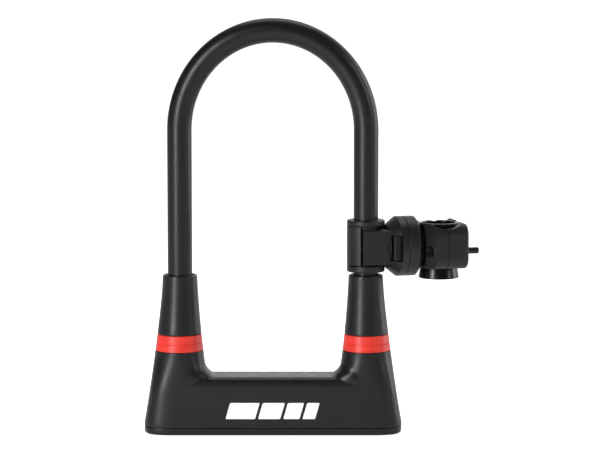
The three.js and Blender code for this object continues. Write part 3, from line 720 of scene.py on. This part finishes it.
def jaw():
    wall = [(GRIP_RADIUS, JAW_BOTTOM, 0), (SPOOL_RADIUS, JAW_BOTTOM, 0)]
    wall += [(SPOOL_RADIUS, JAW_TOP, 0), (GRIP_RADIUS, JAW_TOP, 0)]
    ring = lathe("jaw", wall)
    common(ring, block(-20, JAW_EDGE, -20, 20, -30, 30, 0.01, 0))
    web = block(HINGE[0] - 2.6, HINGE[0] - 1, 9.6, HINGE[1], -4.7, 4.7, 0.01, 0)
    join(ring, web, moved(rod(2.6, -4.7, 4.7), *HINGE))
    catch_slot = block(-7.3, -6, -10.55, -9.6, -CATCH_LEVEL, CATCH_LEVEL, 0.01, 0)
    cut(ring, moved(rod(PIN_HOLE, -30, 30, sides=32), *HINGE), catch_slot)
    soften(ring, 0.45, 3)
    on_bracket(ring, "swing_jaw", "bracket_jaw", "bracket_nylon", ["jaw"])


def jaw_pin():
    pin = moved(rod(1.3, -10.8, 11.4, 0.3, 32), *HINGE)
    on_bracket(pin, "hinge_pin", "bracket_arm", "dark_steel", ["jaw_pin"])


def arm():
    edge = DISC_SEAM - HALF_GAP
    body = block(ARM_EDGE, 16, -ARM_HALF_DEPTH, ARM_HALF_DEPTH, ARM_BOTTOM, ARM_TOP, 0.01, 0)
    join(body, block(ARM_EDGE, 14, 4, ARM_HALF_DEPTH, ARM_TOP - 1, JAW_TOP, 0.01, 0))
    flare = [(0, 13.5, 0), (14.7, 13.5, 0.8), (DISC_RADIUS, 20.5, 1.2), (DISC_RADIUS, edge, 0), (0, edge, 0)]
    join(body, along_x(lathe("flare", flare, 160)))
    for z0, z1 in ((ARM_BOTTOM, -KNUCKLE_EDGE), (KNUCKLE_EDGE, ARM_TOP)):
        join(body, moved(rod(KNUCKLE_RADIUS, z0, z1), *HINGE), block(ARM_EDGE, -3.4, 12, 16, z0, z1, 0.01, 0))
    grip = rod(GRIP_RADIUS, -30, 30, sides=96)
    swept = lathe("sweep", [(GRIP_RADIUS, -30, 0), (17.5, -30, 0), (17.5, 30, 0), (GRIP_RADIUS, 30, 0)])
    common(swept, block(-20, -5.001, -20, 10, -29, 29, 0.01, 0))
    knuckle_room = moved(rod(3, -KNUCKLE_EDGE, KNUCKLE_EDGE), *HINGE)
    cut(body, swept, grip, knuckle_room, moved(rod(PIN_HOLE, -30, 30, sides=32), *HINGE))
    cut(body, along_x(rod(7.2, 5, 17)), along_x(rod(SWIVEL_HOLE, 15, 30, sides=48)))
    catch_track = block(-6, 17.3, -10.8, -9.6, -CATCH_LEVEL, CATCH_LEVEL, 0.01, 0)
    cut(body, block(13.9, 21.2, -22, -10.1, -8.9, 8.9, 0.01, 0), catch_track)
    soften(body, 0.5, 3)
    on_bracket(body, "bracket_arm_body", "bracket_arm", "bracket_nylon", ["arm"])


def jaw_slider():
    paddle = block(15.9, 20.9, -15.6, -11.6, -8.4, 8.4, 0.8, 0.6)
    for x in (16.8, 18.2, 19.6):
        join(paddle, block(x, x + 0.6, -16.1, -15, -7, 7, 0.2, 0.2))
    neck = block(15.9, 17, -11.8, -9.9, -1.2, 1.2, 0.2, 0)
    tongue = block(-5.5, 17, -10.4, -9.9, -1.2, 1.2, 0.2, 0.1)
    join(paddle, neck, tongue)
    on_bracket(paddle, "slide_catch", "slider", "bracket_nylon", ["jaw_slider"])


def dial():
    low, high = DISC_SEAM + HALF_GAP, 37.4
    corners = [(SWIVEL_HOLE, low, 0), (DISC_RADIUS, low, 0.35), (DISC_RADIUS, 33.1, 1.2), (16.2, 36, 1.5)]
    corners += [(14.8, high, 0.6), (SWIVEL_HOLE, high, 0)]
    disc = along_x(lathe("dial", corners, 160))
    cut(disc, along_x(rod(6.3, 32.8, 40, sides=6)))
    for y in PEGS:
        cut(disc, along_x(rod(PEG_RADIUS + GAP, 31, 40, sides=32), y))
    on_bracket(disc, "clamp_dial", "clamp", "bracket_nylon", ["dial"])


def clamp_form(x0, x1, edge):
    """Both halves' common section, with a rounded rim at its outer end."""
    run, rise = CLAMP_HALF_WIDTH, CLAMP_HALF_HEIGHT
    outline = rounded_rectangle(-rise - CLAMP_RISE, rise - CLAMP_RISE, -run, run, CLAMP_CORNER, 16)
    return along_x(extruded("clamp", outline, x0, x1, 0, edge, 6))


def clamp_hollows():
    """What both halves lose: liner's bore, seat of its lip, scoop across the top and screw holes."""
    scoop = rod(SCOOP_RADIUS, -40, 40, sides=160)
    scoop.data.transform(Matrix.Rotation(math.pi / 2 - SCOOP_TILT, 4, "X"))
    moved(scoop, TUBE_AXIS, 0, LIP_SEAT + 0.4 + SCOOP_RADIUS)
    bore = moved(rod(12.7, -40, 40, sides=96), TUBE_AXIS)
    lip_seat = moved(rod(14.2, LIP_SEAT, 40, sides=96), TUBE_AXIS)
    holes = [along_x(rod(SCREW_HOLE, 30, 80, sides=32), y, z) for y, z in CLAMP_SCREWS]
    return [bore, lip_seat, scoop] + holes


def clamp_inner():
    seam = CLAMP_SEAM - HALF_GAP
    form = clamp_form(30, 70, 0)
    hub = [(0, 37.7, 0), (17.6, 37.7, 2), (25, 42.3, 0), (32, 46.7, 0), (32, seam, 0), (0, seam, 0)]
    common(form, along_x(lathe("hub", hub, 160)))
    for y in PEGS:
        join(form, along_x(rod(PEG_RADIUS, 31.4, 38, 0.2, 32), y))
    heads = [along_x(rod(3.9, 30, 45.2, sides=48), y, z) for y, z in CLAMP_SCREWS]
    cut(form, *clamp_hollows(), *heads)
    soften(form, 0.4, 2, 45)
    on_bracket(form, "clamp_half_inner", "clamp", "bracket_nylon", ["clamp_inner"])


def clamp_outer():
    form = clamp_form(40, CLAMP_END, 1.8)
    common(form, block(CLAMP_SEAM + HALF_GAP, 80, -30, 30, -20, 20, 0.01, 0))
    seats = [along_x(rod(NUT_RADIUS + GAP, CLAMP_END - 3.1, 80, sides=6), y, z) for y, z in CLAMP_SCREWS]
    cut(form, *clamp_hollows(), *seats)
    soften(form, 0.3, 2, 45)
    on_bracket(form, "clamp_half_outer", "clamp", "bracket_nylon", ["clamp_outer"])


def clamp_liner():
    low, high, lip = LINER_LOW.z - BRACKET_Z, LINER_HIGH.z - BRACKET_Z, LIP_SEAT + GAP
    corners = [(TUBE_RADIUS, low, 0.4), (13.9, low, 0.5), (12.5, -14.7, 2), (12.4, lip, 0)]
    corners += [(13.8, lip, 0.3), (13.8, high, 0.9), (TUBE_RADIUS, high, 0.8)]
    liner = moved(lathe("liner", corners, 120), TUBE_AXIS)
    notch = block(TUBE_AXIS - 2, TUBE_AXIS + 2, 5, 20, high - 0.6, high + 2, 0.6, 0.4)
    cut(liner, notch)
    on_bracket(liner, "tube_liner", "clamp", "rubber_liner", ["clamp_liner"])


def clamp_screws():
    for (y, z), end in zip(CLAMP_SCREWS, ("front", "back")):
        screw = join(rod(3.5, 41.4, 45, 0.5, 48), rod(SCREW_RADIUS, 44.5, 73.3, 0.4, 40))
        cut(screw, rod(1.7, 40, 43.4, sides=6))
        cut(screw, *[thread_groove(h) for h in np.arange(60.3, 72.6, 0.7)])
        on_bracket(along_x(screw, y, z), f"screw_{end}", "clamp", "dark_steel", [f"clamp_screw_{end}"])


def thread_groove(height):
    """A ring of V section that cuts one turn of thread into a clamp screw."""
    bottom, top = SCREW_RADIUS - 0.18, SCREW_RADIUS + 0.2
    corners = [(bottom, height, 0), (top, height - 0.25, 0), (top, height + 0.25, 0)]
    return lathe("groove", corners, 32)


def clamp_nuts():
    low, high = CLAMP_END - 2.8, CLAMP_END - 0.4
    for (y, z), end in zip(CLAMP_SCREWS, ("front", "back")):
        nut = cut(rod(NUT_RADIUS, low, high, 0.0, 6), rod(SCREW_HOLE, 60, 70, sides=40))
        soften(nut, 0.25, 2, 40)
        on_bracket(along_x(nut, y, z), f"nut_{end}", "clamp", "zinc_steel", [f"clamp_nut_{end}"])


# ---- Studio ----
CAMERA_TARGET = Vector((18.37, 0, 141.52)) * METRES
CAMERA_HEIGHT = math.radians(6.5)
CAMERA_DISTANCE = 1.8
CAMERA_LENS = 159.62
FLOOR_HALF = 8
FLOOR_DROP = 0.0005  # so that the floor and the lock's flat base don't flicker


def camera():
    data = bpy.data.cameras.new("camera")
    data.lens = CAMERA_LENS
    data.clip_start, data.clip_end = 0.05, 50
    obj = bpy.data.objects.new("camera", data)
    bpy.context.scene.collection.objects.link(obj)
    away = Vector((0, -math.cos(CAMERA_HEIGHT), math.sin(CAMERA_HEIGHT)))
    obj.location = CAMERA_TARGET + away * CAMERA_DISTANCE
    obj.rotation_mode = "QUATERNION"
    obj.rotation_quaternion = (-away).to_track_quat("-Z", "Y")
    bpy.context.scene.camera = obj


def softbox(name, azimuth, height, distance, width, tall, watts):
    """An area light aimed at the middle of the lock. Azimuth 0 is in front, positive to the right."""
    data = bpy.data.lights.new(name, "AREA")
    data.shape = "RECTANGLE"
    data.size, data.size_y, data.energy = width, tall, watts
    obj = bpy.data.objects.new(name, data)
    bpy.context.scene.collection.objects.link(obj)
    a = math.radians(azimuth)
    obj.location = (distance * math.sin(a), -distance * math.cos(a), height)
    towards = Vector((0, 0, 0.12)) - obj.location
    obj.rotation_mode = "QUATERNION"
    obj.rotation_quaternion = towards.to_track_quat("-Z", "Y")


def floor():
    """A pale sheet that looks white to the camera and throws less light up at the lock."""
    n = Nodes("pale_floor")
    n.link(n.blend(n.noise(2, 2), (0.93, 0.93, 0.93), (0.95, 0.95, 0.95)), n.shader.inputs["Base Color"])
    n.shader.inputs["Roughness"].default_value = 0.9
    n.shader.inputs["Specular IOR Level"].default_value = 0.1
    n.shader.inputs["Emission Color"].default_value = (1, 1, 1, 1)
    seen = n.tree.nodes.new("ShaderNodeLightPath")
    glow = n.tree.nodes.new("ShaderNodeMapRange")
    glow.inputs["To Min"].default_value = 0.25
    glow.inputs["To Max"].default_value = 0.86
    n.link(seen.outputs["Is Camera Ray"], glow.inputs["Value"])
    n.link(glow.outputs["Result"], n.shader.inputs["Emission Strength"])
    corners = [(x * FLOOR_HALF, y * FLOOR_HALF, 0) for x, y in ((-1, -1), (1, -1), (1, 1), (-1, 1))]
    plane = mesh_object("floor", corners, [(0, 1, 2, 3)])
    plane.location.z = -FLOOR_DROP
    plane.data.materials.append(n.material)


def studio():
    camera()
    floor()
    softbox("key", -36, 0.45, 1.5, 0.42, 1.3, 27)
    softbox("right", 66, 0.7, 1.5, 0.3, 0.9, 5)
    softbox("rim", 105, 0.4, 1.5, 0.5, 1.3, 9)
    softbox("top", 170, 1.7, 0.6, 1.2, 0.8, 6)
    bpy.context.scene.world = white_room()
    bpy.context.scene.view_settings.view_transform = "Standard"


def white_room():
    """A white backdrop all round, whose light comes mostly from behind the lock."""
    world = bpy.data.worlds.new("white_room")
    world.use_nodes = True
    tree = world.node_tree
    coordinates = tree.nodes.new("ShaderNodeTexCoord")
    axes = tree.nodes.new("ShaderNodeSeparateXYZ")
    turned = tree.nodes.new("ShaderNodeMapping")
    turned.inputs["Rotation"].default_value = (0, 0, math.radians(28))
    tree.links.new(coordinates.outputs["Generated"], turned.inputs["Vector"])
    tree.links.new(turned.outputs["Vector"], axes.inputs["Vector"])
    fade = tree.nodes.new("ShaderNodeMapRange")
    fade.inputs["From Min"].default_value = 0.25
    fade.inputs["From Max"].default_value = 0.95
    fade.inputs["To Min"].default_value = 0.05
    fade.inputs["To Max"].default_value = 1.25
    tree.links.new(axes.outputs["Y"], fade.inputs["Value"])
    light = tree.nodes["Background"]
    tree.links.new(fade.outputs["Result"], light.inputs["Strength"])
    light.inputs["Color"].default_value = (1, 1, 1, 1)
    seen = tree.nodes.new("ShaderNodeBackground")
    seen.inputs["Color"].default_value = (1, 1, 1, 1)
    seen.inputs["Strength"].default_value = 1.05
    mix = tree.nodes.new("ShaderNodeMixShader")
    path = tree.nodes.new("ShaderNodeLightPath")
    tree.links.new(path.outputs["Is Camera Ray"], mix.inputs["Fac"])
    tree.links.new(light.outputs["Background"], mix.inputs[1])
    tree.links.new(seen.outputs["Background"], mix.inputs[2])
    tree.links.new(mix.outputs["Shader"], tree.nodes["World Output"].inputs["Surface"])
    return world


def carried_over():
    """CAD nodes that stay in sight keep their shape and get the detailed material of their slot."""
    slots = {part["node"]: part["material_slot"] for part in frame["record"]["subparts"]}
    for node, obj in frame["nodes"].items():
        if not obj.hide_render:
            for slot in obj.material_slots:
                slot.material = MATERIALS[slots[node]]


WHITE = white_paint()
studio()
housing()
base_cap()
red_ring()
tower_sleeve()
mouth_bush()
base_screws()
slanted_mark()
shackle_coat()
shackle_bar()
spool()
jaw()
jaw_pin()
arm()
jaw_slider()
dial()
clamp_inner()
clamp_outer()
clamp_liner()
clamp_screws()
clamp_nuts()
carried_over()
